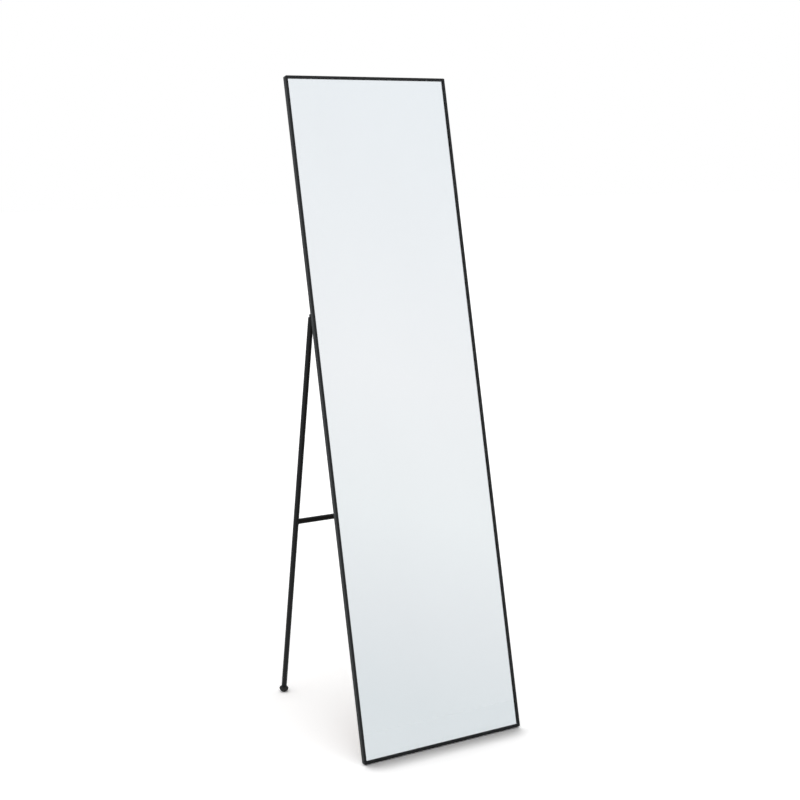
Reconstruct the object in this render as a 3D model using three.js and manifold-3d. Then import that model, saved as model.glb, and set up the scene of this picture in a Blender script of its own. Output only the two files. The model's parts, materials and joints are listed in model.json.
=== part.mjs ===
// A tall mirror in a slim black aluminium frame. It leans back on the floor against its own
// folding stand: two round legs joined by a crossbar and hinged behind the side rails.
// Millimetres and degrees. +Z is up, -Y is the front, and the floor is at z = 0.
import * as THREE from 'three';
import { mergeVertices } from 'three/addons/utils/BufferGeometryUtils.js';
import Module from 'manifold-3d';

const wasm = await Module();
wasm.setup();

// ---------------------------------------------------------------- driving dimensions

// Frame on the floor
const frameWidth = 400;
const frameHeight = 1500;
const leanAngle = 14;

// Section of the frame rails
const faceWidth = 6;
const lipThickness = 1.2;
const wallThickness = 1.3;
const ribThickness = 1;
const flangeThickness = 1.2;
const channelDepth = 2.35;
const channelWidth = 8.7;
const slotWidth = 4.6;
const edgeRound = 0.5;
const cornerRadius = 3;
const mitreGap = 0.3;

// Pane and back panel, which share the rebate
const glassThickness = 3;
const panelThickness = 2.5;
const paneEdgeGap = 0.7;

// Corner keys and their grub screws
const keyLegLength = 34;
const keyHoleFromCorner = 24;
const screwDiameter = 4;

// Folding stand
const pinHeight = 977;
const legAngle = 11.3;
const tubeDiameter = 12.7;
const tubeWall = 1.2;
const crossbarBelowPin = 503;
const weldBeadRadius = 1.5;

// Hinge
const pinDiameter = 3.5;
const eyeRadius = 3.8;
const eyeThickness = 2;
const washerDiameter = 7;
const washerThickness = 0.5;
const rivetHeadDiameter = 6.6;
const rivetHeadHeight = 2.6;
const rivetHeadEdgeRound = 0.9;
const rivetPeenHeight = 0.8;
const collarHeight = 2.5;
const collarEdgeRound = 2;
const spigotLength = 14;
const heelWidth = 3;

// Hinge bracket, folded from sheet
const bracketThickness = 2;
const bracketBendRadius = 2.5;
const bracketInset = 1;
const bracketAbovePin = 38;
const bracketBelowPin = 10;
const earHeightAtBase = 9;
const firstScrewAbovePin = 14;
const screwPitch = 16;
const screwHeadDiameter = 7.2;
const screwHeadHeight = 2.4;
const nutPlateMargin = 7;

// Rubber foot
const footDiameter = 22;
const footDomeHeight = 9.5;
const footShoulderHeight = 4.5;
const footNeckDiameter = 13.5;
const footStemLength = 16;
const footFlatDepth = 0.5;

// Rubber wedges under the bottom rail
const padLength = 40;
const padWidth = 5;
const padRearHeight = 0.65;
const padEndInset = 25;

// Clearances
const seatGap = 0.25;
const fitGap = 0.3;
const pinGap = 0.3;
const sideGap = 0.2;
const legToBracketGap = 1.9;

// ---------------------------------------------------------------- sizes that follow

const radians = THREE.MathUtils.degToRad;
const lean = radians(leanAngle);
const splay = radians(legAngle);
const openAngle = lean + splay;

const ribFront = lipThickness + glassThickness + panelThickness + 3 * seatGap;
const channelFront = ribFront + ribThickness;
const channelBack = channelFront + channelDepth;
const frameDepth = channelBack + flangeThickness;
const channelFar = wallThickness + channelWidth;
const channelCentre = wallThickness + channelWidth / 2;
const railBackWidth = channelFar + ribThickness;

const screwRadius = screwDiameter / 2;
const plateThickness = channelDepth - 2 * seatGap;
const plateFront = channelFront + seatGap;

const tubeRadius = tubeDiameter / 2;
const tubeBore = tubeRadius - tubeWall;
const plugRadius = tubeBore - fitGap;
const pinRadius = pinDiameter / 2;
const pinStandoff = seatGap + bracketThickness + legToBracketGap + tubeRadius;
const legFromSide = tubeRadius;
const collarBelowPin = eyeRadius + fitGap;
const tubeTopBelowPin = collarBelowPin + collarHeight + fitGap;

const eyeInner = legFromSide + eyeThickness / 2;
const washerOuter = eyeInner + sideGap;
const earOuter = washerOuter + washerThickness + sideGap;
const earInner = earOuter + bracketThickness;
const bracketRear = seatGap + bracketThickness;

// The floor in the frame's own plane, where y is depth and z runs up the leaning frame
const padRear = seatGap + padRearHeight;
const floorAt = (y) => (y - frameDepth) * Math.tan(lean) - padRear;
const leanY = (y, z) => y * Math.cos(lean) + z * Math.sin(lean);
const leanZ = (y, z) => z * Math.cos(lean) - y * Math.sin(lean);
const floorLevel = leanZ(frameDepth, -padRear);
const pinFromFloor = leanZ(frameDepth + pinStandoff, pinHeight) - floorLevel;

// The foot's dome is half an ellipsoid, cut flat where it stands
const footRadius = footDiameter / 2;
const domeToFloor = Math.hypot(footDomeHeight * Math.cos(splay), footRadius * Math.sin(splay)) - footFlatDepth;
const domeBelowPin = (pinFromFloor - domeToFloor) / Math.cos(splay);
const tubeEndBelowPin = domeBelowPin - footShoulderHeight - fitGap;

// Front and rear ends of the object on the floor
const frontEnd = edgeRound * (Math.cos(lean) + Math.sin(lean) - 1);
const footBehindPin = domeBelowPin * Math.sin(splay);
const domeReach = Math.hypot(footRadius * Math.cos(splay), footDomeHeight * Math.sin(splay));
const rearEnd = leanY(frameDepth + pinStandoff, pinHeight) + footBehindPin + domeReach;

// ---------------------------------------------------------------- finishes

function finish(name, color, roughness, metalness) {
  return () => new THREE.MeshStandardMaterial({ name, color, roughness, metalness });
}

const blackPowderCoat = finish('black_powder_coat', 0x17181a, 0.45, 0.2);
const mirrorSilver = finish('silvered_glass', 0xdfe5e8, 0.03, 1);
const hardboard = finish('hardboard', 0x6b4a30, 0.8, 0);
const zincSteel = finish('zinc_steel', 0xa9adb0, 0.35, 1);
const blackRubber = finish('black_rubber', 0x111112, 0.85, 0);
const nylon = finish('nylon', 0xe6e3da, 0.5, 0);

// ---------------------------------------------------------------- solids and cuts

function toSolid(geometry) {
  const bare = geometry.clone();
  bare.deleteAttribute('normal');
  bare.deleteAttribute('uv');
  const merged = mergeVertices(bare, 1e-4);
  const mesh = new wasm.Mesh({
    numProp: 3,
    vertProperties: Float32Array.from(merged.attributes.position.array),
    triVerts: Uint32Array.from(merged.index.array),
  });
  return new wasm.Manifold(mesh);
}

function toGeometry(solid) {
  const mesh = solid.getMesh();
  const geometry = new THREE.BufferGeometry();
  geometry.setAttribute('position', new THREE.BufferAttribute(mesh.vertProperties, 3));
  geometry.setIndex(new THREE.BufferAttribute(mesh.triVerts, 1));
  const faceted = geometry.toNonIndexed();
  faceted.computeVertexNormals();
  return faceted;
}

// The same piece for the other side of the frame, mirrored across x = 0
function mirrored(geometry) {
  const copy = geometry.index ? geometry.toNonIndexed() : geometry.clone();
  const position = copy.attributes.position;
  for (let i = 0; i < position.count; i += 3) {
    const second = new THREE.Vector3().fromBufferAttribute(position, i + 1);
    const third = new THREE.Vector3().fromBufferAttribute(position, i + 2);
    position.setX(i, -position.getX(i));
    position.setXYZ(i + 1, -third.x, third.y, third.z);
    position.setXYZ(i + 2, -second.x, second.y, second.z);
  }
  copy.computeVertexNormals();
  return copy;
}

// A flat piece drawn in (x, z), from y = 0 to y = thickness
function plateFacingFront(shape, thickness, curveSegments = 6) {
  const options = { depth: thickness, bevelEnabled: false, curveSegments };
  const geometry = new THREE.ExtrudeGeometry(shape, options);
  geometry.rotateX(Math.PI / 2);
  geometry.translate(0, thickness, 0);
  return geometry;
}

// A flat piece drawn in (y, z), from x = 0 to x = thickness
function plateFacingSide(shape, thickness, curveSegments = 10) {
  const options = { depth: thickness, bevelEnabled: false, curveSegments };
  const geometry = new THREE.ExtrudeGeometry(shape, options);
  const alongX = new THREE.Vector3(1, 0, 0);
  const alongY = new THREE.Vector3(0, 1, 0);
  const alongZ = new THREE.Vector3(0, 0, 1);
  geometry.applyMatrix4(new THREE.Matrix4().makeBasis(alongY, alongZ, alongX));
  return geometry;
}

// A turned piece whose profile gives [radius, height along Z]
function turned(profile, segments = 32) {
  const points = profile.map(([radius, height]) => new THREE.Vector2(radius, height));
  const geometry = new THREE.LatheGeometry(points, segments);
  geometry.rotateX(Math.PI / 2);
  return geometry;
}

// Points of a quarter of an ellipse, from angle start to angle end in degrees
function ellipseArc(centreR, centreH, radiusR, radiusH, start, end, steps) {
  const points = [];
  for (let i = 0; i <= steps; i++) {
    const angle = radians(start + ((end - start) * i) / steps);
    points.push([centreR + radiusR * Math.cos(angle), centreH + radiusH * Math.sin(angle)]);
  }
  return points;
}

function roundHole(x, y, radius) {
  const hole = new THREE.Path();
  hole.absarc(x, y, radius, 0, 2 * Math.PI, true);
  return hole;
}

function roundedRectangle(left, bottom, right, top, radius) {
  const shape = new THREE.Shape();
  shape.moveTo(left + radius, bottom);
  shape.absarc(right - radius, bottom + radius, radius, -Math.PI / 2, 0, false);
  shape.absarc(right - radius, top - radius, radius, 0, Math.PI / 2, false);
  shape.absarc(left + radius, top - radius, radius, Math.PI / 2, Math.PI, false);
  shape.absarc(left + radius, bottom + radius, radius, Math.PI, 1.5 * Math.PI, false);
  shape.closePath();
  return shape;
}

// ---------------------------------------------------------------- frame rails

// The rail's section, drawn as (distance in from the outer face, depth from the front): a front
// lip over the pane's edge, the outer wall, a rib behind the back panel, and a slotted channel
function railSection() {
  const slotNear = channelCentre - slotWidth / 2;
  const slotFar = channelCentre + slotWidth / 2;
  const shape = new THREE.Shape();
  shape.absarc(edgeRound, edgeRound, edgeRound, Math.PI, 1.5 * Math.PI, false);
  shape.absarc(faceWidth - edgeRound, edgeRound, edgeRound, 1.5 * Math.PI, 2 * Math.PI, false);
  shape.lineTo(faceWidth, lipThickness);
  shape.lineTo(wallThickness, lipThickness);
  shape.lineTo(wallThickness, ribFront);
  shape.lineTo(railBackWidth, ribFront);
  shape.lineTo(railBackWidth, frameDepth);
  shape.lineTo(slotFar, frameDepth);
  shape.lineTo(slotFar, channelBack);
  shape.lineTo(channelFar, channelBack);
  shape.lineTo(channelFar, channelFront);
  shape.lineTo(wallThickness, channelFront);
  shape.lineTo(wallThickness, channelBack);
  shape.lineTo(slotNear, channelBack);
  shape.lineTo(slotNear, frameDepth);
  shape.absarc(edgeRound, frameDepth - edgeRound, edgeRound, Math.PI / 2, Math.PI, false);
  shape.closePath();
  return shape;
}

// What the saw and the corner rounding leave of a rail, seen from the front. Half of the mitre
// gap comes off along each cut.
function mitredOutline(length) {
  const reach = railBackWidth + 1;
  const halfGap = mitreGap / 2;
  const arcCentre = length / 2 - cornerRadius;
  const arcEnd = 0.75 * Math.PI + Math.asin(halfGap / cornerRadius);
  const cutEnd = length / 2 - reach - halfGap * Math.SQRT2;
  const shape = new THREE.Shape();
  shape.moveTo(-1, -arcCentre);
  shape.lineTo(0, -arcCentre);
  shape.absarc(cornerRadius, -arcCentre, cornerRadius, Math.PI, 2 * Math.PI - arcEnd, false);
  shape.lineTo(reach, -cutEnd);
  shape.lineTo(reach, cutEnd);
  shape.absarc(cornerRadius, arcCentre, cornerRadius, arcEnd, Math.PI, false);
  shape.lineTo(-1, arcCentre);
  shape.closePath();
  return shape;
}

// A rail that runs along Z, centred on z = 0, with its outer face at x = 0
function railGeometry(length) {
  const options = { depth: length, bevelEnabled: false, curveSegments: 4 };
  const bar = new THREE.ExtrudeGeometry(railSection(), options);
  bar.translate(0, 0, -length / 2);
  const saw = plateFacingFront(mitredOutline(length), frameDepth + 2);
  saw.translate(0, -1, 0);
  return toGeometry(toSolid(bar).intersect(toSolid(saw)));
}

// ---------------------------------------------------------------- corner keys

// A flat L that slides into the channels of two rails at the bottom left corner
function cornerKeyGeometry() {
  const near = wallThickness + seatGap;
  const far = channelFar - seatGap;
  const shape = new THREE.Shape();
  shape.moveTo(near, near);
  shape.lineTo(keyLegLength, near);
  shape.lineTo(keyLegLength, far);
  shape.lineTo(far, far);
  shape.lineTo(far, keyLegLength);
  shape.lineTo(near, keyLegLength);
  shape.closePath();
  shape.holes.push(roundHole(keyHoleFromCorner, channelCentre, screwRadius + pinGap));
  shape.holes.push(roundHole(channelCentre, keyHoleFromCorner, screwRadius + pinGap));
  return plateFacingFront(shape, plateThickness);
}

// A headless screw along Y, from just behind the channel's floor to just inside the frame's back
function grubScrewGeometry() {
  const length = frameDepth - channelFront - 2 * seatGap;
  const edge = 0.4;
  const profile = [
    [0, 0],
    [screwRadius - edge, 0],
    [screwRadius, edge],
    [screwRadius, length],
    [0, length],
  ];
  const geometry = turned(profile, 16);
  geometry.rotateX(-Math.PI / 2);
  return geometry;
}

// ---------------------------------------------------------------- hinge bracket and fixings

// The bracket's angle section, drawn as (distance in from the rail's side, distance behind it)
function bracketAngle() {
  const insideBend = bracketBendRadius - bracketThickness;
  const rear = pinStandoff + eyeRadius + 1;
  const bendX = earInner - bracketBendRadius;
  const bendY = seatGap + bracketBendRadius;
  const shape = new THREE.Shape();
  shape.moveTo(bracketInset, bracketRear);
  shape.lineTo(bracketInset, seatGap);
  shape.absarc(bendX, bendY, bracketBendRadius, -Math.PI / 2, 0, false);
  shape.lineTo(earInner, rear);
  shape.lineTo(earOuter, rear);
  shape.absarc(bendX, bendY, insideBend, 0, -Math.PI / 2, true);
  shape.closePath();
  return shape;
}

// The bracket seen from the side, as (distance behind the rail, height from the pin)
function bracketSideOutline() {
  const shape = new THREE.Shape();
  shape.moveTo(0, -bracketBelowPin - 1);
  shape.lineTo(bracketRear, -bracketBelowPin - 1);
  shape.lineTo(bracketRear, -eyeRadius);
  shape.absarc(pinStandoff, 0, eyeRadius, -Math.PI / 2, Math.PI / 2, false);
  shape.lineTo(bracketRear, earHeightAtBase);
  shape.lineTo(bracketRear, bracketAbovePin + 1);
  shape.lineTo(0, bracketAbovePin + 1);
  shape.closePath();
  shape.holes.push(roundHole(pinStandoff, 0, pinRadius + pinGap));
  return shape;
}

// The bracket's base seen from behind, with its two screw holes
function bracketBaseOutline() {
  const shape = roundedRectangle(bracketInset, -bracketBelowPin, earInner, bracketAbovePin, 2);
  for (let i = 0; i < 2; i++) {
    const height = firstScrewAbovePin + i * screwPitch;
    shape.holes.push(roundHole(channelCentre, height, screwRadius + pinGap));
  }
  return shape;
}

function hingeBracketGeometry() {
  const height = bracketAbovePin + bracketBelowPin + 2;
  const options = { depth: height, bevelEnabled: false, curveSegments: 5 };
  const angle = new THREE.ExtrudeGeometry(bracketAngle(), options);
  angle.translate(0, 0, -bracketBelowPin - 1);
  const side = plateFacingSide(bracketSideOutline(), earInner + 1);
  const base = plateFacingFront(bracketBaseOutline(), pinStandoff + eyeRadius + 2);
  return toGeometry(toSolid(angle).intersect(toSolid(side)).intersect(toSolid(base)));
}

// Slides in the rail's channel and takes the bracket's screws
function nutPlateGeometry() {
  const halfWidth = channelWidth / 2 - seatGap;
  const bottom = firstScrewAbovePin - nutPlateMargin;
  const top = firstScrewAbovePin + screwPitch + nutPlateMargin;
  const left = channelCentre - halfWidth;
  const right = channelCentre + halfWidth;
  const shape = roundedRectangle(left, bottom, right, top, 1);
  for (let i = 0; i < 2; i++) {
    const height = firstScrewAbovePin + i * screwPitch;
    shape.holes.push(roundHole(channelCentre, height, screwRadius + pinGap));
  }
  return plateFacingFront(shape, plateThickness);
}

// A pan head screw along Y: its tip is inside the nut plate, its head behind the bracket
function bracketScrewGeometry() {
  const tip = plateFront;
  const underHead = frameDepth + bracketRear + seatGap;
  const headRadius = screwHeadDiameter / 2;
  const rim = screwHeadHeight / 3;
  const dome = ellipseArc(0, underHead + rim, headRadius, screwHeadHeight - rim, 0, 90, 4);
  const profile = [[0, tip], [screwRadius, tip], [screwRadius, underHead], [headRadius, underHead], ...dome];
  profile[profile.length - 1][0] = 0;
  const geometry = turned(profile, 16);
  geometry.rotateX(-Math.PI / 2);
  return geometry;
}

// The hinge pin: a rivet along X with a tall head outside the leg's eye, peened low behind the ear
function rivetGeometry() {
  const outer = legFromSide - eyeThickness / 2 - sideGap;
  const inner = earInner + sideGap;
  const headRadius = rivetHeadDiameter / 2;
  const headTop = outer - rivetHeadHeight;
  const rim = rivetPeenHeight / 3;
  const edge = rivetHeadEdgeRound;
  const profile = [
    [0, headTop],
    ...ellipseArc(headRadius - edge, headTop + edge, edge, edge, -90, 0, 4),
    [headRadius, outer],
    [pinRadius, outer],
    [pinRadius, inner],
    [headRadius, inner],
    [headRadius, inner + rim],
    [headRadius * 0.7, inner + rivetPeenHeight],
    [0, inner + rivetPeenHeight],
  ];
  const geometry = turned(profile, 20);
  geometry.rotateY(Math.PI / 2);
  return geometry;
}

function washerGeometry() {
  const bore = pinRadius + pinGap;
  const rim = washerDiameter / 2;
  const far = washerOuter + washerThickness;
  const profile = [[bore, washerOuter], [rim, washerOuter], [rim, far], [bore, far], [bore, washerOuter]];
  const geometry = turned(profile, 20);
  geometry.rotateY(Math.PI / 2);
  return geometry;
}

// ---------------------------------------------------------------- folding stand
// Its pieces are drawn as folded flat, with the pin at the origin and the legs along -Z.

// The eye that turns on the pin. Its heel comes flat against the bracket's base when the stand
// is fully open, which stops it, and stays inside that reach as the stand folds.
function eyeOutline() {
  const reach = pinStandoff - bracketRear - fitGap;
  const toBase = Math.PI - openAngle;
  const heelHalfAngle = Math.asin(heelWidth / reach);
  const heelX = Math.cos(toBase);
  const heelZ = Math.sin(toBase);
  const heelTopX = reach * heelX + heelWidth * heelZ;
  const heelTopZ = reach * heelZ - heelWidth * heelX;
  const shoulder = toBase - Math.asin(heelWidth / eyeRadius);
  const root = collarBelowPin + collarHeight / 2;
  const shape = new THREE.Shape();
  shape.moveTo(-eyeRadius, -root);
  shape.lineTo(eyeRadius, -root);
  shape.absarc(0, 0, eyeRadius, 0, shoulder, false);
  shape.lineTo(heelTopX, heelTopZ);
  shape.absarc(0, 0, reach, toBase, toBase + heelHalfAngle, false);
  shape.lineTo(-eyeRadius, -eyeRadius / 2);
  shape.closePath();
  return shape;
}

// Closes the tube's top: a round-edged collar, a spigot inside the tube, and the eye
function legHingeEndGeometry() {
  const top = -collarBelowPin;
  const under = top - collarHeight;
  const roundCentre = tubeRadius - collarEdgeRound;
  const edge = ellipseArc(roundCentre, top - collarEdgeRound, collarEdgeRound, collarEdgeRound, 0, 90, 5);
  const profile = [
    [0, under - spigotLength],
    [plugRadius - 1, under - spigotLength],
    [plugRadius, under - spigotLength + 1],
    [plugRadius, under],
    [tubeRadius, under],
    ...edge,
    [0, top],
  ];
  const eye = plateFacingSide(eyeOutline(), eyeThickness);
  eye.translate(-eyeThickness / 2, 0, 0);
  const pinHole = new THREE.CylinderGeometry(pinRadius + pinGap, pinRadius + pinGap, 2 * eyeThickness, 20);
  pinHole.rotateZ(Math.PI / 2);
  return toGeometry(toSolid(turned(profile)).add(toSolid(eye)).subtract(toSolid(pinHole)));
}

function legTubeGeometry() {
  const top = -tubeTopBelowPin;
  const bottom = -tubeEndBelowPin;
  return turned([[tubeBore, bottom], [tubeRadius, bottom], [tubeRadius, top], [tubeBore, top], [tubeBore, bottom]]);
}

// A closed bead along the line where two equal tubes meet at right angles
class WeldLine extends THREE.Curve {
  getPoint(t, target = new THREE.Vector3()) {
    const angle = 2 * Math.PI * t;
    const height = tubeRadius * Math.sin(angle);
    return target.set(Math.abs(height), tubeRadius * Math.cos(angle), height);
  }
}

// The crossbar along X between the legs: its ends are notched to the round of the legs and
// carry the weld beads
function crossbarGeometry() {
  const halfSpan = frameWidth / 2 - legFromSide;
  const ring = [
    [tubeBore, -halfSpan],
    [tubeRadius, -halfSpan],
    [tubeRadius, halfSpan],
    [tubeBore, halfSpan],
    [tubeBore, -halfSpan],
  ];
  const bar = turned(ring);
  bar.rotateY(Math.PI / 2);
  const bead = new THREE.TubeGeometry(new WeldLine(), 36, weldBeadRadius, 6, true);
  bead.translate(-halfSpan, 0, 0);
  const notch = turned([[0, -30], [tubeRadius + fitGap, -30], [tubeRadius + fitGap, 30], [0, 30]]);
  notch.translate(-halfSpan, 0, 0);
  const otherNotch = mirrored(notch);
  const welded = toSolid(bar).add(toSolid(bead)).add(toSolid(mirrored(bead)));
  return toGeometry(welded.subtract(toSolid(notch)).subtract(toSolid(otherNotch)));
}

// A rubber glide: a cone that widens from the tube to a rim, a dome under it that is cut flat along
// the floor, and a stem inside the tube
function rubberFootGeometry() {
  const shoulderTop = footShoulderHeight;
  const stemTop = shoulderTop + footStemLength;
  const neck = footNeckDiameter / 2;
  const dome = ellipseArc(0, 0, footRadius, footDomeHeight, 0, -90, 9);
  const stem = [[0, stemTop], [plugRadius, stemTop], [plugRadius, shoulderTop]];
  const profile = [...stem, [neck, shoulderTop], ...dome];
  profile[profile.length - 1][0] = 0;
  const foot = turned(profile.reverse());
  const floor = new THREE.BoxGeometry(4 * footRadius, 4 * footRadius, footRadius);
  floor.translate(0, 0, -domeToFloor - footRadius / 2);
  floor.rotateX(-splay);
  const geometry = toGeometry(toSolid(foot).subtract(toSolid(floor)));
  geometry.translate(0, 0, -domeBelowPin);
  return geometry;
}

// ---------------------------------------------------------------- floor pads

// A rubber wedge under the rear half of the bottom rail: flat on the floor, flat on the rail
function floorPadGeometry() {
  const front = frameDepth - padWidth;
  const shape = new THREE.Shape();
  shape.moveTo(front, floorAt(front));
  shape.lineTo(frameDepth, floorAt(frameDepth));
  shape.lineTo(frameDepth, -seatGap);
  shape.lineTo(front, -seatGap);
  shape.closePath();
  const geometry = plateFacingSide(shape, padLength);
  geometry.translate(-padLength / 2, 0, 0);
  return geometry;
}

// ---------------------------------------------------------------- assembly

const object = new THREE.Group();
const leaningFrame = new THREE.Group();
const stand = new THREE.Group();

function addPiece(parent, name, geometry, makeMaterial, position = [0, 0, 0], turnAboutY = 0) {
  const mesh = new THREE.Mesh(geometry, makeMaterial());
  mesh.name = name;
  mesh.position.set(...position);
  mesh.rotation.y = turnAboutY;
  parent.add(mesh);
  return mesh;
}

object.add(leaningFrame);
object.position.set(0, -(frontEnd + rearEnd) / 2, -floorLevel);
leaningFrame.rotation.x = -lean;
leaningFrame.add(stand);
stand.position.set(0, frameDepth + pinStandoff, pinHeight);
stand.rotation.x = openAngle;

const sideRail = railGeometry(frameHeight);
const crossRail = railGeometry(frameWidth);
const halfWidth = frameWidth / 2;
const halfHeight = frameHeight / 2;
addPiece(leaningFrame, 'left_rail', sideRail, blackPowderCoat, [-halfWidth, 0, halfHeight], 0);
addPiece(leaningFrame, 'right_rail', sideRail, blackPowderCoat, [halfWidth, 0, halfHeight], Math.PI);
addPiece(leaningFrame, 'bottom_rail', crossRail, blackPowderCoat, [0, 0, 0], -Math.PI / 2);
addPiece(leaningFrame, 'top_rail', crossRail, blackPowderCoat, [0, 0, frameHeight], Math.PI / 2);

// Each corner's name, place, and quarter turns from the bottom left one
const corners = [
  ['bottom_left', -halfWidth, 0, 0],
  ['bottom_right', halfWidth, 0, -1],
  ['top_right', halfWidth, frameHeight, 2],
  ['top_left', -halfWidth, frameHeight, 1],
];
const cornerKey = cornerKeyGeometry();
const grubScrew = grubScrewGeometry();
for (const [name, x, z, quarterTurns] of corners) {
  const turn = (quarterTurns * Math.PI) / 2;
  const corner = new THREE.Group();
  corner.position.set(x, plateFront, z);
  corner.rotation.y = turn;
  leaningFrame.add(corner);
  addPiece(corner, `corner_key_${name}`, cornerKey, zincSteel);
  addPiece(corner, `grub_screw_${name}_1`, grubScrew, zincSteel, [keyHoleFromCorner, 0, channelCentre]);
  addPiece(corner, `grub_screw_${name}_2`, grubScrew, zincSteel, [channelCentre, 0, keyHoleFromCorner]);
}

const paneInset = wallThickness + paneEdgeGap;
const paneWidth = frameWidth - 2 * paneInset;
const paneHeight = frameHeight - 2 * paneInset;
const glass = new THREE.BoxGeometry(paneWidth, glassThickness, paneHeight);
const panel = new THREE.BoxGeometry(paneWidth, panelThickness, paneHeight);
const glassMiddle = lipThickness + seatGap + glassThickness / 2;
const panelMiddle = ribFront - seatGap - panelThickness / 2;
addPiece(leaningFrame, 'mirror_glass', glass, mirrorSilver, [0, glassMiddle, halfHeight]);
addPiece(leaningFrame, 'back_panel', panel, hardboard, [0, panelMiddle, halfHeight]);

for (const [side, sign] of [['left', -1], ['right', 1]]) {
  const handed = (geometry) => (sign < 0 ? geometry : mirrored(geometry));
  const edge = sign * halfWidth;
  const atPin = [edge, frameDepth + pinStandoff, pinHeight];
  const legX = edge - sign * legFromSide;
  const padX = edge - sign * (padEndInset + padLength / 2);

  const bracket = handed(hingeBracketGeometry());
  const nutPlate = handed(nutPlateGeometry());
  addPiece(leaningFrame, `hinge_bracket_${side}`, bracket, blackPowderCoat, [edge, frameDepth, pinHeight]);
  addPiece(leaningFrame, `bracket_nut_plate_${side}`, nutPlate, zincSteel, [edge, plateFront, pinHeight]);
  addPiece(leaningFrame, `hinge_washer_${side}`, handed(washerGeometry()), nylon, atPin);
  addPiece(leaningFrame, `hinge_rivet_${side}`, handed(rivetGeometry()), blackPowderCoat, atPin);
  addPiece(leaningFrame, `floor_pad_${side}`, floorPadGeometry(), blackRubber, [padX, 0, 0]);
  for (let i = 0; i < 2; i++) {
    const height = pinHeight + firstScrewAbovePin + i * screwPitch;
    const place = [edge - sign * channelCentre, 0, height];
    addPiece(leaningFrame, `bracket_screw_${side}_${i + 1}`, bracketScrewGeometry(), zincSteel, place);
  }

  addPiece(stand, `leg_hinge_end_${side}`, legHingeEndGeometry(), blackPowderCoat, [legX, 0, 0]);
  addPiece(stand, `leg_tube_${side}`, legTubeGeometry(), blackPowderCoat, [legX, 0, 0]);
  addPiece(stand, `rubber_foot_${side}`, rubberFootGeometry(), blackRubber, [legX, 0, 0]);
}
addPiece(stand, 'leg_crossbar', crossbarGeometry(), blackPowderCoat, [0, 0, -crossbarBelowPin]);

export default object;
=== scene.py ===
import json
import math

import bpy
from mathutils import Matrix, Vector


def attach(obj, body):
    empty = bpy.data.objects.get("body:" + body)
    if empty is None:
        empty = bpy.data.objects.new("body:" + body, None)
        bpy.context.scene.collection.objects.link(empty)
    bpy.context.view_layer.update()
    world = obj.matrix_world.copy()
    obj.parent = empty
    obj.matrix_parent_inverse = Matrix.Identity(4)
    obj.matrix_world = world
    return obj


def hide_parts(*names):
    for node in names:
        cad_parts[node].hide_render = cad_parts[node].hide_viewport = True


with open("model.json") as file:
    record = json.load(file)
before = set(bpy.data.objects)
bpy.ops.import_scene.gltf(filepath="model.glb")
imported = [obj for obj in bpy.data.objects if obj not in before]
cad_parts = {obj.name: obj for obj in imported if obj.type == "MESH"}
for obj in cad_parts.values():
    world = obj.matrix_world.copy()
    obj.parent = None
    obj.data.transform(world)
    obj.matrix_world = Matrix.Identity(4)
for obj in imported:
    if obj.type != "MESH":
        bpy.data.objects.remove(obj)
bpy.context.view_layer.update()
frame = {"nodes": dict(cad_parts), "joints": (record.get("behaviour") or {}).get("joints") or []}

# ---------------------------------------------------------------- sizes

MM = 0.001

LEAN = math.radians(14)
LEG_ANGLE = math.radians(11.3)
OPEN_ANGLE = LEAN + LEG_ANGLE

# Facets round a turned piece
FINE = 96
MEDIUM = 48

# Edges that turn less than this are shaded smooth
SMOOTH_ANGLE = math.radians(32)

# Points this close become one, and CAD triangles this near to flat become one face
PLATE_MERGE = 0.001 * MM
CAD_MERGE = 0.002 * MM
CAD_FLAT_ANGLE = math.radians(0.5)

TUBE_WALL = 1.2 * MM
TUBE_EDGE = 0.15 * MM
EYE_RADIUS = 3.8 * MM
EYE_THICKNESS = 2 * MM
EYE_EDGE = 0.25 * MM
PIN_HOLE_RADIUS = 2.05 * MM
HEEL_HALF_WIDTH = 3 * MM
HEEL_REACH = 7.95 * MM
RIVET_HEAD_HEIGHT = 2.6 * MM
RIVET_HEAD_ROUND = 0.9 * MM
RIVET_PEEN_HEIGHT = 0.8 * MM
WASHER_EDGE = 0.1 * MM
COLLAR_TOP = -4.1 * MM
COLLAR_HEIGHT = 2.5 * MM
COLLAR_ROUND = 2 * MM
SPIGOT_LENGTH = 14 * MM
PLUG_LEAD = 1 * MM
FIT_GAP = 0.3 * MM

FOOT_DOME_HEIGHT = 9.5 * MM
FOOT_SHOULDER_HEIGHT = 4.5 * MM
FOOT_NECK_RADIUS = 6.75 * MM

WELD_RADIUS = 1.5 * MM
WELD_STEP = 1.3 * MM
WELD_RIPPLE = 0.12
WELD_POINTS = 8
NOTCH_GAP = 0.05 * MM

COAT_SHINE = 0.27

SILVER_THICKNESS = 0.06 * MM
SILVER_SEAM = 0.004 * MM
SILVER_EDGE = 0.01 * MM
PANE_ARRIS = 0.35 * MM

SHEET_EDGE = 0.3 * MM
KEY_EDGE = 0.15 * MM
RUBBER_EDGE = 0.4 * MM
PAD_EDGE = 0.08 * MM

SCREW_HEAD_HEIGHT = 2.4 * MM
SCREW_HEAD_RADIUS = 3.6 * MM
SCREW_HEAD_EDGE = 0.1 * MM
SCREW_SHANK_RADIUS = 2 * MM
SCREW_RECESS_SPAN = 4 * MM
SCREW_RECESS_SLOT = 0.95 * MM
SCREW_RECESS_DEPTH = 1.5 * MM
SCREW_RECESS_TAPER = (0.45, 0.7)
SCREW_TURN = 0.4
SCREW_TIP = 0.4 * MM
GRUB_SCREW_EDGE = 0.3 * MM
SOCKET_RADIUS = 1.15 * MM
SOCKET_DEPTH = 1.6 * MM

# ---------------------------------------------------------------- studio levels
# For a light 1 is white. The sun and the even light add up to 1 on the floor.

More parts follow.
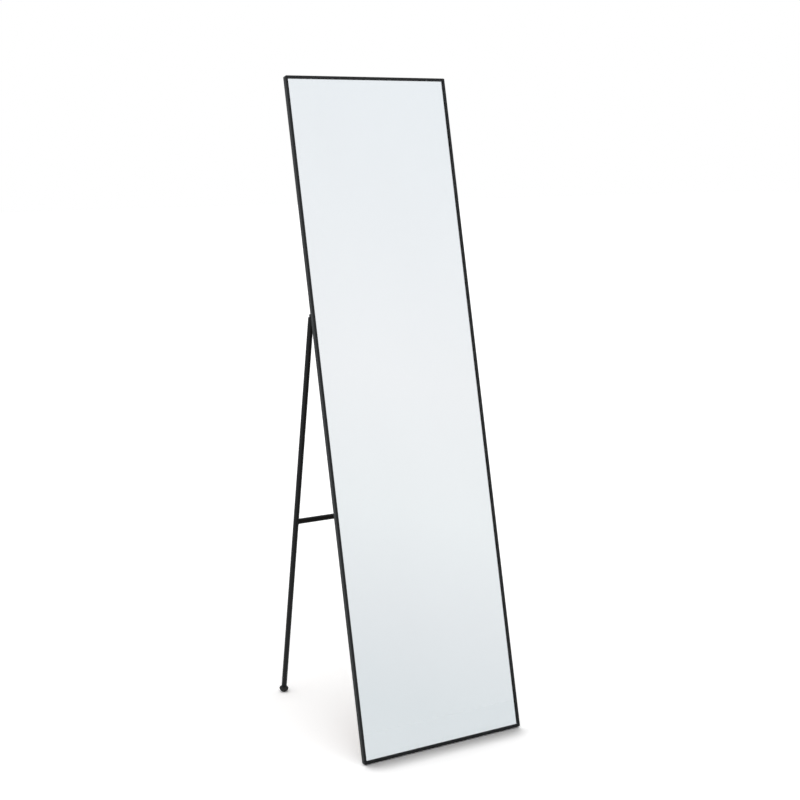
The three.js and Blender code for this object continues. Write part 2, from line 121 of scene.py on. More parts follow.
FLOOR_SIZE = 40
FLOOR_WHITE = 0.9
FLOOR_SHOWN = 1.25
SUN_LIGHT = 0.65
EVEN_LIGHT = 1 - SUN_LIGHT
HORIZON_GREY = (0.745, 0.789, 0.812)

# The room's greys follow the height of a reflected ray, tilted towards X
ROOM_SLOPE = 0.5
ROOM_START = 0.228

# The dark strip stands this far before the bottom rail and above the floor
FLAG_GAP = 0.4 * MM
FLAG_LIFT = 4 * MM

CAMERA_PLACE = (-1.399, -2.595, 1.3415)
CAMERA_DIP = math.radians(11.44)
CAMERA_TURN = math.radians(-28.51)
CAMERA_SENSOR = 36
CAMERA_LENS = 59.93

# ---------------------------------------------------------------- the groups' own axes
# x runs across, y runs back, and z runs up the leaning frame or up the legs. The hinge pin is at 0.

pin = Vector(frame["joints"][0]["pos_m"])
frame_axes = Matrix.Translation(pin) @ Matrix.Rotation(-LEAN, 4, "X")
stand_axes = Matrix.Translation(pin) @ Matrix.Rotation(LEG_ANGLE, 4, "X")


def span(node, axes):
    """The lowest and highest corner of a CAD node, measured along a group's own axes."""
    to_group = axes.inverted()
    points = [to_group @ vertex.co for vertex in frame["nodes"][node].data.vertices]
    low = Vector(min(point[i] for point in points) for i in range(3))
    high = Vector(max(point[i] for point in points) for i in range(3))
    return low, high


# ---------------------------------------------------------------- shader tools


class Signal:
    """A number that flows through a shader. Arithmetic on it adds Math nodes."""

    def __init__(self, shader, socket):
        self.shader = shader
        self.socket = socket

    def maths(self, operation, first, second):
        node = self.shader.node("ShaderNodeMath", {"operation": operation}, {0: first, 1: second})
        return Signal(self.shader, node.outputs[0])

    def __add__(self, other):
        return self.maths("ADD", self, other)

    def __mul__(self, other):
        return self.maths("MULTIPLY", self, other)

    def __sub__(self, other):
        return self.maths("SUBTRACT", self, other)

    def __rsub__(self, other):
        return self.maths("SUBTRACT", other, self)

    def above(self, level):
        return self.maths("GREATER_THAN", self, level)

    def most(self, other):
        return self.maths("MAXIMUM", self, other)

    __radd__ = __add__
    __rmul__ = __mul__


class Shader:
    """The node tree of a material or of the world, filled one node at a time."""

    def __init__(self, tree):
        self.tree = tree
        tree.nodes.clear()

    def node(self, kind, settings=None, sockets=None):
        node = self.tree.nodes.new(kind)
        for name, value in (settings or {}).items():
            if name == "stops":
                self.set_stops(node.color_ramp, value)
            else:
                setattr(node, name, value)
        for name, value in (sockets or {}).items():
            if isinstance(value, Signal):
                value = value.socket
            if isinstance(value, bpy.types.NodeSocket):
                self.tree.links.new(value, node.inputs[name])
            else:
                node.inputs[name].default_value = value
        return node

    def set_stops(self, ramp, stops):
        while len(ramp.elements) < len(stops):
            ramp.elements.new(0.5)
        for element, (position, colour) in zip(ramp.elements, stops):
            element.position = position
            element.color = (*colour, 1)

    def place(self, turn=0.0):
        """The point on the piece, in metres, turned about X by an angle."""
        point = self.node("ShaderNodeTexCoord").outputs["Object"]
        mapping = self.node("ShaderNodeMapping", {"vector_type": "POINT"}, {0: point, 2: (turn, 0, 0)})
        return mapping.outputs[0]

    def noise(self, place, size, detail=2.0, stretch=(1, 1, 1)):
        """Soft noise from 0 to 1 whose features are about `size` metres across."""
        scaled = self.node("ShaderNodeVectorMath", {"operation": "MULTIPLY"}, {0: place, 1: stretch})
        sockets = {"Vector": scaled.outputs[0], "Scale": 0.5 / size, "Detail": detail}
        return Signal(self, self.node("ShaderNodeTexNoise", None, sockets).outputs[0])

    def ramp(self, value, stops):
        return self.node("ShaderNodeValToRGB", {"stops": stops}, {0: value}).outputs[0]

    def bump(self, height, distance, strength=1.0):
        sockets = {"Height": height, "Distance": distance, "Strength": strength}
        return self.node("ShaderNodeBump", None, sockets).outputs[0]

    def mix(self, share, first, second):
        """The first colour, or the second where the share is 1."""
        sockets = {0: share, 6: first, 7: second}
        return self.node("ShaderNodeMix", {"data_type": "RGBA"}, sockets).outputs[2]

    def rays(self):
        """1 for rays from the camera, and 1 for rays that the object reflects or lets through."""
        kinds = self.node("ShaderNodeLightPath").outputs
        glossy = Signal(self, kinds["Is Glossy Ray"])
        through = Signal(self, kinds["Is Transmission Ray"])
        return Signal(self, kinds["Is Camera Ray"]), glossy.most(through)

    def show(self, shader_socket, target="ShaderNodeOutputMaterial"):
        self.node(target, None, {"Surface": shader_socket})

    def finish(self, surface):
        self.show(self.node("ShaderNodeBsdfPrincipled", None, surface).outputs[0])


def new_material(name):
    material = bpy.data.materials.new(name)
    material.use_nodes = True
    return material, Shader(material.node_tree)


# ---------------------------------------------------------------- finishes


def powder_coat(name, tone):
    """Satin black powder coat: a fine orange peel, a finer grain, and a gloss that wanders a little."""
    material, shader = new_material(name)
    place = shader.place()
    cloud = shader.noise(place, 30 * MM)
    peel = shader.noise(place, 1.1 * MM, 1)
    grain = shader.noise(place, 0.28 * MM, 3)
    colour = shader.ramp(cloud * 0.6 + grain * 0.4, [(0.25, [0.72 * c for c in tone]), (0.75, tone)])
    height = peel * 0.75 + grain * 0.25
    surface = {
        "Base Color": colour,
        "Roughness": 0.36 + cloud * 0.08 + grain * 0.06,
        "Specular IOR Level": COAT_SHINE,
        "Normal": shader.bump(height, 0.09 * MM, 0.6),
    }
    shader.finish(surface)
    return material


def clear_glass():
    material, shader = new_material("clear_glass")
    surface = {"Base Color": (1, 1, 1, 1), "Roughness": 0, "IOR": 1.52, "Transmission Weight": 1}
    shader.finish(surface)
    return material


def silver():
    """The mirror's silver, with the faint long waves of float glass."""
    material, shader = new_material("silver")
    place = shader.place(LEAN)
    wave = shader.noise(place, 90 * MM, 1, (1, 1, 0.4))
    colour = shader.ramp(wave, [(0.3, (0.955, 0.962, 0.965)), (0.7, (0.965, 0.972, 0.975))])
    surface = {
        "Base Color": colour,
        "Metallic": 1,
        "Roughness": 0.0,
        "Normal": shader.bump(wave, 0.02 * MM, 0.1),
    }
    shader.finish(surface)
    return material


def backing_paint():
    """The grey paint that seals the silver from behind."""
    material, shader = new_material("backing_paint")
    speck = shader.noise(shader.place(), 2 * MM, 4)
    surface = {
        "Base Color": shader.ramp(speck, [(0.3, (0.12, 0.14, 0.15)), (0.7, (0.16, 0.18, 0.19))]),
        "Roughness": 0.55 + speck * 0.15,
        "Normal": shader.bump(speck, 0.03 * MM),
    }
    shader.finish(surface)
    return material


def hardboard():
    """Smooth pressed fibreboard: brown, mottled, with short fibres lying every way and a waxy face."""
    material, shader = new_material("hardboard")
    place = shader.place(LEAN)
    cloud = shader.noise(place, 45 * MM, 3)
    crumb = shader.noise(place, 0.9 * MM, 5)
    upright = shader.noise(place, 0.6 * MM, 3, (1, 1, 0.4))
    level = shader.noise(place, 0.6 * MM, 3, (0.4, 1, 1))
    speck = shader.noise(place, 2.2 * MM, 2).above(0.69)
    fibre = upright.most(level)
    tone = fibre * 0.35 + crumb * 0.5 + cloud * 0.15 - speck * 0.05
    stops = [(0.38, (0.1, 0.048, 0.022)), (0.52, (0.155, 0.078, 0.037)), (0.66, (0.21, 0.112, 0.056))]
    surface = {
        "Base Color": shader.ramp(tone, stops),
        "Roughness": 0.42 + crumb * 0.2,
        "Normal": shader.bump(fibre * 0.5 + crumb * 0.5, 0.06 * MM),
    }
    shader.finish(surface)
    return material


def zinc_steel():
    """Bright zinc plate with a faint blue and straw tint and fine drawing marks."""
    material, shader = new_material("zinc_steel")
    place = shader.place(LEAN)
    tint = shader.noise(place, 9 * MM, 2)
    mark = shader.noise(place, 0.25 * MM, 3, (1, 1, 0.2))
    surface = {
        "Base Color": shader.ramp(tint, [(0.3, (0.52, 0.55, 0.6)), (0.7, (0.63, 0.6, 0.53))]),
        "Metallic": 1,
        "Roughness": 0.24 + mark * 0.2,
        "Normal": shader.bump(mark, 0.02 * MM),
    }
    shader.finish(surface)
    return material


def black_rubber():
    """Matt moulded rubber with a faint bloom of dust."""
    material, shader = new_material("black_rubber")
    place = shader.place()
    bloom = shader.noise(place, 6 * MM, 3)
    grain = shader.noise(place, 0.3 * MM, 2)
    surface = {
        "Base Color": shader.ramp(bloom, [(0.35, (0.009, 0.009, 0.009)), (0.75, (0.02, 0.02, 0.019))]),
        "Roughness": 0.62 + bloom * 0.14 + grain * 0.08,
        "Normal": shader.bump(grain, 0.05 * MM, 0.7),
    }
    shader.finish(surface)
    return material


def white_nylon():
    material, shader = new_material("white_nylon")
    grain = shader.noise(shader.place(), 0.5 * MM, 2)
    surface = {
        "Base Color": shader.ramp(grain, [(0.3, (0.66, 0.64, 0.57)), (0.7, (0.74, 0.72, 0.65))]),
        "Roughness": 0.38 + grain * 0.15,
        "Normal": shader.bump(grain, 0.02 * MM),
    }
    shader.finish(surface)
    return material


RAIL_BLACK = powder_coat("frame_powder_coat", (0.0105, 0.0108, 0.0114))
STAND_BLACK = powder_coat("stand_powder_coat", (0.0092, 0.0094, 0.0098))
GLASS = clear_glass()
SILVER = silver()
PAINT = backing_paint()
HARDBOARD = hardboard()
ZINC = zinc_steel()
RUBBER = black_rubber()
NYLON = white_nylon()

# ---------------------------------------------------------------- modelling tools


def select_only(piece):
    bpy.ops.object.select_all(action="DESELECT")
    piece.select_set(True)
    bpy.context.view_layer.objects.active = piece


def modify(piece, kind, **settings):
    """Adds a modifier and applies it at once."""
    modifier = piece.modifiers.new(kind, kind)
    for name, value in settings.items():
        setattr(modifier, name, value)
    select_only(piece)
    bpy.ops.object.modifier_apply(modifier=modifier.name)


def soften(piece, width, segments, turn):
    """Bevels the edges that turn more than an angle in degrees."""
    limit = math.radians(turn)
    modify(piece, "BEVEL", width=width, segments=segments, limit_method="ANGLE", angle_limit=limit)


def cylinder(radius, depth, vertices=FINE, **options):
    bpy.ops.object.select_all(action="DESELECT")
    bpy.ops.mesh.primitive_cylinder_add(vertices=vertices, radius=radius, depth=depth, **options)
    return bpy.context.object


def cube(size, **options):
    bpy.ops.object.select_all(action="DESELECT")
    bpy.ops.mesh.primitive_cube_add(size=size, **options)
    return bpy.context.object


def cut(piece, cutter, operation="DIFFERENCE"):
    """Joins another piece to this one or cuts it away, then deletes the other piece."""
    modify(piece, "BOOLEAN", operation=operation, object=cutter, solver="EXACT")
    bpy.data.objects.remove(cutter)


def settle(piece, axes, material, slot, body, *nodes):
    """Puts a piece's place into its mesh, in the row frame, and hands it to its body and nodes."""
    piece.data.transform(axes @ piece.matrix_world)
    piece.matrix_world = Matrix.Identity(4)
    piece.data.materials.clear()
    piece.data.materials.append(material)
    select_only(piece)
    bpy.ops.object.shade_smooth_by_angle(angle=SMOOTH_ANGLE)
    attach(piece, body)
    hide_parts(*nodes)


def turned(name, profile, facets):
    """A closed turned piece about Z from (radius, height) steps, extruded ring by ring."""
    (first_radius, first_height), *steps = profile
    bpy.ops.object.select_all(action="DESELECT")
    bpy.ops.mesh.primitive_circle_add(vertices=facets, radius=first_radius, fill_type="NGON")
    piece = bpy.context.object
    piece.name = name
    piece.data.transform(Matrix.Translation((0, 0, first_height)))
    bpy.ops.object.mode_set(mode="EDIT")
    bpy.ops.mesh.select_all(action="SELECT")
    radius, height = first_radius, first_height
    for next_radius, next_height in steps:
        rise = {"value": (0, 0, next_height - height)}
        bpy.ops.mesh.extrude_region_move(TRANSFORM_OT_translate=rise)
        scale = next_radius / radius
        bpy.ops.transform.resize(value=(scale, scale, 1), center_override=(0, 0, next_height))
        radius, height = next_radius, next_height
    bpy.ops.mesh.select_all(action="SELECT")
    bpy.ops.mesh.normals_make_consistent(inside=False)
    bpy.ops.object.mode_set(mode="OBJECT")
    return piece


def arc(centre, radius, start, end, steps):
    """Points along an arc, from angle start to angle end in degrees."""
    points = []
    for i in range(steps + 1):
        angle = math.radians(start + (end - start) * i / steps)
        points.append((centre[0] + radius * math.cos(angle), centre[1] + radius * math.sin(angle)))
    return points


def oval_arc(radius, rise, start, end, steps):
    """Points along a quarter of an ellipse about the axis."""
    return [(x * radius, y * rise) for x, y in arc((0, 0), 1, start, end, steps)]


def plate(name, outlines, thickness, edge):
    """A flat plate in the local XY plane with softened edges, from an outline and its holes."""
    curve = bpy.data.curves.new(name, "CURVE")
    curve.dimensions = "2D"
    curve.fill_mode = "BOTH"
    curve.extrude = thickness / 2 - edge
    curve.bevel_depth = edge
    curve.bevel_resolution = 2
    curve.offset = -edge
    for outline in outlines:
        spline = curve.splines.new("POLY")
        spline.points.add(len(outline) - 1)
        for point, (x, y) in zip(spline.points, outline):
            point.co = (x, y, 0, 1)
        spline.use_cyclic_u = True
    piece = bpy.data.objects.new(name, curve)
    bpy.context.scene.collection.objects.link(piece)
    select_only(piece)
    bpy.ops.object.convert(target="MESH")
    bpy.ops.object.mode_set(mode="EDIT")
    bpy.ops.mesh.select_all(action="SELECT")
    bpy.ops.mesh.remove_doubles(threshold=PLATE_MERGE)
    bpy.ops.mesh.normals_make_consistent(inside=False)
    bpy.ops.object.mode_set(mode="OBJECT")
    return piece


def refined(node, edge):
    """A copy of a CAD node with its triangles merged into faces and its edges softened."""
    piece = bpy.data.objects.new(node + "_finished", frame["nodes"][node].data.copy())
    bpy.context.scene.collection.objects.link(piece)
    select_only(piece)
    bpy.ops.object.mode_set(mode="EDIT")
    bpy.ops.mesh.select_all(action="SELECT")
    bpy.ops.mesh.remove_doubles(threshold=CAD_MERGE)
    bpy.ops.mesh.dissolve_limited(angle_limit=CAD_FLAT_ANGLE)
    bpy.ops.object.mode_set(mode="OBJECT")
    soften(piece, edge, 2, 35)
    return piece


# ---------------------------------------------------------------- mirror pane and frame


def box_piece(name, low, high, edge):
    """A block between two corners with chamfered edges."""
    piece = cube(1, location=(low + high) / 2)
    piece.name = name
    piece.scale = high - low
    bpy.ops.object.transform_apply(location=False, rotation=False, scale=True)
    soften(piece, edge, 1, 60)
    return piece


def mirror_pane():
    """Clear glass with ground edges, and behind it the silver with its sealing paint."""
    low, high = span("mirror_glass", frame_axes)
    glass_back = high.y - SILVER_THICKNESS
    glass = box_piece("mirror_pane", low, Vector((high.x, glass_back, high.z)), PANE_ARRIS)
    settle(glass, frame_axes, GLASS, "silvered_glass", "mirror", "mirror_glass")

    inset = Vector((PANE_ARRIS, 0, PANE_ARRIS))
    seam = Vector((0, SILVER_SEAM, 0))
    silver_low = Vector((low.x, glass_back, low.z)) + inset + seam
    layer = box_piece("mirror_silvering", silver_low, high - inset, SILVER_EDGE)
    settle(layer, frame_axes, SILVER, "silvered_glass", "mirror", "mirror_glass")
    layer.data.materials.append(PAINT)
    behind = frame_axes.to_3x3() @ Vector((0, 1, 0))
    for face in layer.data.polygons:
        face.material_index = 1 if face.normal.dot(behind) > 0.5 else 0


def frame_finishes():
    """The CAD rails and board keep their shape and get their finish."""
    for node in ("left_rail", "right_rail", "top_rail", "bottom_rail"):
        paint_node(node, RAIL_BLACK)
    paint_node("back_panel", HARDBOARD)
    for side in ("left", "right"):
        paint_node(f"bracket_nut_plate_{side}", ZINC)


def paint_node(node, material):
    materials = frame["nodes"][node].data.materials
    materials.clear()
    materials.append(material)


def along_x(low, high):
    """Axes whose z runs along the group's x, from the low end of a piece, through its middle."""
    middle = (low + high) / 2
    return Matrix.Translation((low.x, middle.y, middle.z)) @ Matrix.Rotation(math.pi / 2, 4, "Y")


def along_y(low, high):
    """Axes whose z runs along the group's y, from the front end of a piece, through its middle."""
    middle = (low + high) / 2
    return Matrix.Translation((middle.x, low.y, middle.z)) @ Matrix.Rotation(-math.pi / 2, 4, "X")


def chamfered_disc(radius, height, edge):
    """The profile of a disc or a pin with a chamfer at each end."""
    return [(radius - edge, 0), (radius, edge), (radius, height - edge), (radius - edge, height)]


def grub_screw(node):
    """A headless screw with a hexagon socket towards the back."""
    low, high = span(node, frame_axes)
    length = high.y - low.y
    radius = (high.x - low.x) / 2
    screw = turned(node + "_finished", chamfered_disc(radius, length, GRUB_SCREW_EDGE), MEDIUM)
    socket = cylinder(SOCKET_RADIUS, 2 * SOCKET_DEPTH, 6)
    socket.data.transform(Matrix.Translation((0, 0, length)))
    cut(screw, socket)
    settle(screw, frame_axes @ along_y(low, high), ZINC, "zinc_steel", "mirror", node)


def corners():
    for corner in ("bottom_left", "bottom_right", "top_right", "top_left"):
        node = f"corner_key_{corner}"
        settle(refined(node, KEY_EDGE), Matrix.Identity(4), ZINC, "zinc_steel", "mirror", node)
        for number in (1, 2):
            grub_screw(f"grub_screw_{corner}_{number}")


def floor_pads():
    for side in ("left", "right"):
        node = f"floor_pad_{side}"
        settle(refined(node, PAD_EDGE), Matrix.Identity(4), RUBBER, "black_rubber", "mirror", node)


# ---------------------------------------------------------------- hinge


def cross_recess():
    """The tapered cross that a screwdriver fits, standing on its point."""
    arms = []
    for turn in (0, math.pi / 2):
        arm = cube(1)
        arm.data.transform(Matrix.Diagonal((SCREW_RECESS_SPAN, SCREW_RECESS_SLOT, 2 * SCREW_RECESS_DEPTH, 1)))
        for vertex in arm.data.vertices:
            if vertex.co.z < 0:
                vertex.co.x *= SCREW_RECESS_TAPER[0]
                vertex.co.y *= SCREW_RECESS_TAPER[1]
        arm.data.transform(Matrix.Rotation(turn, 4, "Z"))
        arms.append(arm)
    cut(arms[0], arms[1], "UNION")
    return arms[0]


def bracket_screw(node):
    """A pan head screw along the depth, with a cross recess in its head."""
    low, high = span(node, frame_axes)
    length = high.y - low.y
    under_head = length - SCREW_HEAD_HEIGHT
    rim = SCREW_HEAD_HEIGHT / 3
    dome = oval_arc(SCREW_HEAD_RADIUS, SCREW_HEAD_HEIGHT - rim, 0, 84, 10)
    profile = [
        (SCREW_SHANK_RADIUS - SCREW_TIP, 0),
        (SCREW_SHANK_RADIUS, SCREW_TIP),
        (SCREW_SHANK_RADIUS, under_head),
        (SCREW_HEAD_RADIUS - SCREW_HEAD_EDGE, under_head),
        (SCREW_HEAD_RADIUS, under_head + SCREW_HEAD_EDGE),
    ]
    profile += [(radius, under_head + rim + rise) for radius, rise in dome]
    screw = turned(node + "_finished", profile, MEDIUM)
    recess = cross_recess()
    recess.data.transform(Matrix.Translation((0, 0, length)) @ Matrix.Rotation(SCREW_TURN, 4, "Z"))
    cut(screw, recess)
    settle(screw, frame_axes @ along_y(low, high), ZINC, "zinc_steel", "mirror", node)


def hinge_rivet(side):
    """The hinge pin: a rivet with a tall round-edged head outside the leg, peened low behind the ear."""
    node = f"hinge_rivet_{side}"
    low, high = span(node, frame_axes)
    length = high.x - low.x
    head = (high.z - low.z) / 2
    shank = PIN_HOLE_RADIUS - FIT_GAP
    edge = RIVET_HEAD_ROUND
    peen = length - RIVET_PEEN_HEIGHT
    rim = RIVET_PEEN_HEIGHT / 3
    profile = [(radius, edge + rise) for radius, rise in arc((head - edge, 0), edge, -90, 0, 10)]
    profile += [(head, RIVET_HEAD_HEIGHT), (shank, RIVET_HEAD_HEIGHT), (shank, peen), (head, peen)]
    dome = oval_arc(head, RIVET_PEEN_HEIGHT - rim, 0, 80, 8)
    profile += [(radius, peen + rim + rise) for radius, rise in dome]
    rivet = turned(node + "_finished", profile, FINE)
    if side == "right":
        rivet.data.transform(Matrix.Translation((0, 0, length)) @ Matrix.Rotation(math.pi, 4, "X"))
    settle(rivet, frame_axes @ along_x(low, high), STAND_BLACK, "stand_powder_coat", "mirror", node)


def hinge_washer(node):
    low, high = span(node, frame_axes)
    thickness = high.x - low.x
    rim = (high.z - low.z) / 2
    washer = turned(node + "_finished", chamfered_disc(rim, thickness, WASHER_EDGE), FINE)
    cut(washer, cylinder(PIN_HOLE_RADIUS, 4 * thickness))
    settle(washer, frame_axes @ along_x(low, high), NYLON, "nylon", "mirror", node)


def hinges():
    for side in ("left", "right"):
        node = f"hinge_bracket_{side}"
        bracket = refined(node, SHEET_EDGE)
        settle(bracket, Matrix.Identity(4), STAND_BLACK, "stand_powder_coat", "mirror", node)
        hinge_rivet(side)
        hinge_washer(f"hinge_washer_{side}")
        for number in (1, 2):
            bracket_screw(f"bracket_screw_{side}_{number}")


# ---------------------------------------------------------------- folding stand


def eye_outline():
    """The hinge eye in (back, up), with the heel that stops the stand against the bracket."""
    to_base = 180 - math.degrees(OPEN_ANGLE)
    half = math.degrees(math.asin(HEEL_HALF_WIDTH / HEEL_REACH))
    shoulder = to_base - math.degrees(math.asin(HEEL_HALF_WIDTH / EYE_RADIUS))
    along = Vector((math.cos(math.radians(to_base)), math.sin(math.radians(to_base))))
    across = Vector((along.y, -along.x))
    heel_top = along * HEEL_REACH + across * HEEL_HALF_WIDTH
    root = COLLAR_TOP - COLLAR_HEIGHT / 2
    outline = [(-EYE_RADIUS, root), (EYE_RADIUS, root)]
    outline += arc((0, 0), EYE_RADIUS, 0, shoulder, 28)
    outline.append(tuple(heel_top))
    outline += arc((0, 0), HEEL_REACH, to_base, to_base + half, 10)
    outline.append((-EYE_RADIUS, -EYE_RADIUS / 2))
    return outline


def leg_hinge_end(side):
    """Closes the leg's top: a round-edged collar with its spigot, and the flat hinge eye."""
    node = f"leg_hinge_end_{side}"
    low, high = span(f"leg_tube_{side}", stand_axes)
    radius = (high.x - low.x) / 2
    under = COLLAR_TOP - COLLAR_HEIGHT
    plug = radius - TUBE_WALL - FIT_GAP
    edge = arc((radius - COLLAR_ROUND, COLLAR_TOP - COLLAR_ROUND), COLLAR_ROUND, 0, 86, 12)
    bottom = under - SPIGOT_LENGTH
    profile = [(plug - PLUG_LEAD, bottom), (plug, bottom + PLUG_LEAD), (plug, under)]
    profile += [(radius - TUBE_EDGE, under), (radius, under + TUBE_EDGE)] + edge
    piece = turned(node + "_finished", profile, FINE)
    hole = arc((0, 0), PIN_HOLE_RADIUS, 0, 360 - 360 / MEDIUM, MEDIUM - 1)
    eye = plate("eye", [eye_outline(), hole], EYE_THICKNESS, EYE_EDGE)
    facing_side = Matrix(((0, 0, 1, 0), (1, 0, 0, 0), (0, 1, 0, 0), (0, 0, 0, 1)))
    eye.data.transform(facing_side)
    cut(piece, eye, "UNION")
    across = Matrix.Translation(((low.x + high.x) / 2, 0, 0))
    settle(piece, stand_axes @ across, STAND_BLACK, "stand_powder_coat", "stand", node)


def leg_tube(side):
    node = f"leg_tube_{side}"
    low, high = span(node, stand_axes)
    radius = (high.x - low.x) / 2
    tube = cylinder(radius, high.z - low.z, end_fill_type="NOTHING", location=(low + high) / 2)
    tube.name = node + "_finished"
    modify(tube, "SOLIDIFY", thickness=TUBE_WALL, offset=-1)
    soften(tube, TUBE_EDGE, 2, 60)
    settle(tube, stand_axes, STAND_BLACK, "stand_powder_coat", "stand", node)


def weld_bead(radius, end, side):
    """A bead along the line where the crossbar meets a leg, with the ripples of the weld."""
    curve = bpy.data.curves.new("weld_bead", "CURVE")
    curve.dimensions = "3D"
    curve.bevel_depth = WELD_RADIUS
    curve.bevel_resolution = 5
    ripples = round(2 * math.pi * radius / WELD_STEP)
    count = ripples * WELD_POINTS
    spline = curve.splines.new("POLY")
    spline.points.add(count - 1)
    spline.use_cyclic_u = True
    for i, point in enumerate(spline.points):
        angle = 2 * math.pi * i / count
        height = radius * math.sin(angle)
        reach = math.hypot(height, WELD_RADIUS) - WELD_RADIUS / 2
        point.co = (end - side * reach, radius * math.cos(angle), height, 1)
        point.radius = 1 - WELD_RIPPLE * (i % WELD_POINTS) / WELD_POINTS
    bead = bpy.data.objects.new("weld_bead", curve)
    bpy.context.scene.collection.objects.link(bead)
    select_only(bead)
    bpy.ops.object.convert(target="MESH")
    return bead


def leg_crossbar():
    """The tube between the legs, notched to their round and welded to them."""
    node = "leg_crossbar"
    low, high = span(node, stand_axes)
    leg_low, leg_high = span("leg_tube_left", stand_axes)
    radius = (leg_high.x - leg_low.x) / 2
    leg_x = -(leg_low.x + leg_high.x) / 2
    middle = (low + high) / 2
    bar = cylinder(radius, 2 * leg_x, end_fill_type="NOTHING", rotation=(0, math.pi / 2, 0))
    bar.name = node + "_finished"
    bpy.ops.object.transform_apply(rotation=True)
    modify(bar, "SOLIDIFY", thickness=TUBE_WALL, offset=-1)
    for side in (-1, 1):
        notch = cylinder(radius + NOTCH_GAP, 8 * radius, location=(side * leg_x, 0, 0))
        cut(bar, weld_bead(radius, side * leg_x, side), "UNION")
        cut(bar, notch)
    across = Matrix.Translation((0, middle.y, middle.z))
    settle(bar, stand_axes @ across, STAND_BLACK, "stand_powder_coat", "stand", node)


def rubber_foot(side):
    """A glide: a cone out to a rim, a dome cut flat where it stands, and a stem up the tube."""
    node = f"rubber_foot_{side}"
    low, high = span(node, stand_axes)
    tube_low, tube_high = span(f"leg_tube_{side}", stand_axes)
    radius = (high.x - low.x) / 2
    shoulder_top = tube_low.z - FIT_GAP
    widest = shoulder_top - FOOT_SHOULDER_HEIGHT
    plug = (tube_high.x - tube_low.x) / 2 - TUBE_WALL - FIT_GAP
    profile = [(x, widest + y) for x, y in oval_arc(radius, FOOT_DOME_HEIGHT, -86, 0, 22)]
    profile += [(FOOT_NECK_RADIUS, shoulder_top), (plug, shoulder_top)]
    profile += [(plug, high.z - PLUG_LEAD), (plug - PLUG_LEAD, high.z)]
    foot = turned(node + "_finished", profile, FINE)
    soften(foot, RUBBER_EDGE, 3, 30)
    foot_axes = stand_axes @ Matrix.Translation(((low.x + high.x) / 2, 0, 0))
    under = foot_axes @ Vector((0, 0, widest))
    ground = cube(4 * radius)
    below = Matrix.Translation((under.x, under.y, -2 * radius))
    ground.data.transform(foot_axes.inverted() @ below)
    cut(foot, ground)
    settle(foot, foot_axes, RUBBER, "black_rubber", "stand", node)


def stand():
    for side in ("left", "right"):
        leg_tube(side)
        leg_hinge_end(side)
        rubber_foot(side)
    leg_crossbar()


# ---------------------------------------------------------------- studio and camera


def grey(level):
    return level, level, level, 1


def studio_floor():
    """A floor that takes the object's shadow: white for the camera, the room's grey in reflections."""
    bpy.ops.object.select_all(action="DESELECT")
    bpy.ops.mesh.primitive_plane_add(size=FLOOR_SIZE)
    floor = bpy.context.object
    floor.name = "studio_floor"
    material, shader = new_material("studio_floor")
    seen, mirrored = shader.rays()
    plain = shader.mix(mirrored, grey(FLOOR_WHITE), (*HORIZON_GREY, 1))
    white = shader.mix(seen, plain, grey(FLOOR_SHOWN))
    matt = shader.node("ShaderNodeBsdfDiffuse", None, {"Color": white})
    shader.show(matt.outputs[0])
    floor.data.materials.append(material)


def shadow_flag(height, tilt):
    """A dark strip along the front of the bottom rail, which deepens its shadow. No camera sees it."""
    low, high = span("bottom_rail", Matrix.Identity(4))
    bpy.ops.object.select_all(action="DESELECT")
    bpy.ops.mesh.primitive_plane_add(size=1)
    flag = bpy.context.object
    flag.name = "shadow_flag"
    size = Matrix.Diagonal((high.x - low.x, height, 1, 1))
    upright = Matrix.Rotation(math.radians(90 + tilt), 4, "X") @ Matrix.Translation((0, height / 2, 0))
    flag.data.transform(Matrix.Translation((0, low.y - FLAG_GAP, FLAG_LIFT)) @ upright @ size)
    material, shader = new_material("shadow_flag")
    shader.show(shader.node("ShaderNodeBsdfDiffuse", None, {"Color": (0, 0, 0, 1)}).outputs[0])
    flag.data.materials.append(material)
    flag.visible_camera = False
    flag.visible_glossy = False
    flag.visible_transmission = False


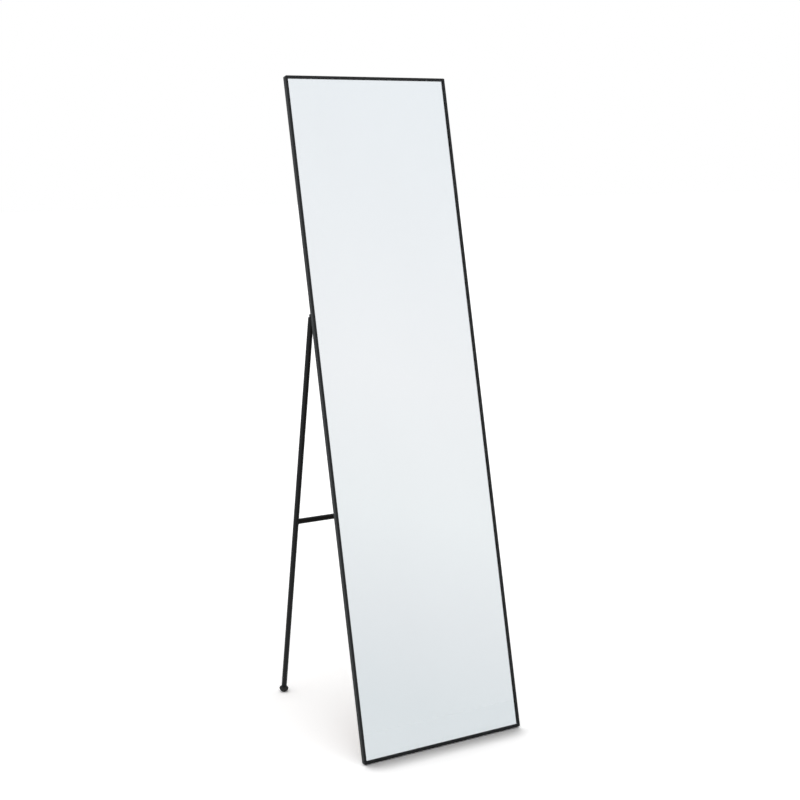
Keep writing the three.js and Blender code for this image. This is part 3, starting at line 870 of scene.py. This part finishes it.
def studio_world():
    """White for the camera, a room of soft greys in reflections, and an even light."""
    world = bpy.data.worlds.new("studio")
    bpy.context.scene.world = world
    world.use_nodes = True
    shader = Shader(world.node_tree)
    direction = shader.node("ShaderNodeTexCoord").outputs["Generated"]
    along = shader.node("ShaderNodeSeparateXYZ", None, {0: direction}).outputs
    rise = Signal(shader, along["Z"]) + Signal(shader, along["X"]) * ROOM_SLOPE - ROOM_START
    stops = [
        (0.0, HORIZON_GREY),
        (0.07, (0.8, 0.831, 0.853)),
        (0.15, (0.865, 0.898, 0.912)),
        (0.25, (0.899, 0.916, 0.933)),
        (0.5, (0.849, 0.889, 0.922)),
    ]
    seen, mirrored = shader.rays()
    shown = shader.mix(seen, shader.ramp(rise, stops), grey(1))
    colour = shader.mix(seen.most(mirrored), grey(EVEN_LIGHT), shown)
    light = shader.node("ShaderNodeBackground", None, {"Color": colour, "Strength": 1})
    shader.show(light.outputs[0], "ShaderNodeOutputWorld")


def soft_sun(name, azimuth, elevation, spread, level):
    """A broad lamp far away, whose light on a floor that faces up is `level` of full white."""
    light = bpy.data.lights.new(name, "SUN")
    light.angle = math.radians(spread)
    light.energy = math.pi * level / math.sin(math.radians(elevation))
    lamp = bpy.data.objects.new(name, light)
    bpy.context.scene.collection.objects.link(lamp)
    lamp.rotation_euler = (math.radians(90 - elevation), 0, math.radians(azimuth))
    lamp.visible_glossy = False
    lamp.visible_transmission = False


def camera():
    data = bpy.data.cameras.new("camera")
    data.sensor_width = CAMERA_SENSOR
    data.lens = CAMERA_LENS
    holder = bpy.data.objects.new("camera", data)
    bpy.context.scene.collection.objects.link(holder)
    holder.location = CAMERA_PLACE
    holder.rotation_euler = (math.pi / 2 - CAMERA_DIP, 0, CAMERA_TURN)
    bpy.context.scene.camera = holder


bpy.context.scene.view_settings.view_transform = "Standard"
camera()
studio_floor()
shadow_flag(height=54 * MM, tilt=30)
studio_world()
soft_sun("overhead", azimuth=-25, elevation=80, spread=110, level=SUN_LIGHT)

frame_finishes()
mirror_pane()
corners()
floor_pads()
hinges()
stand()
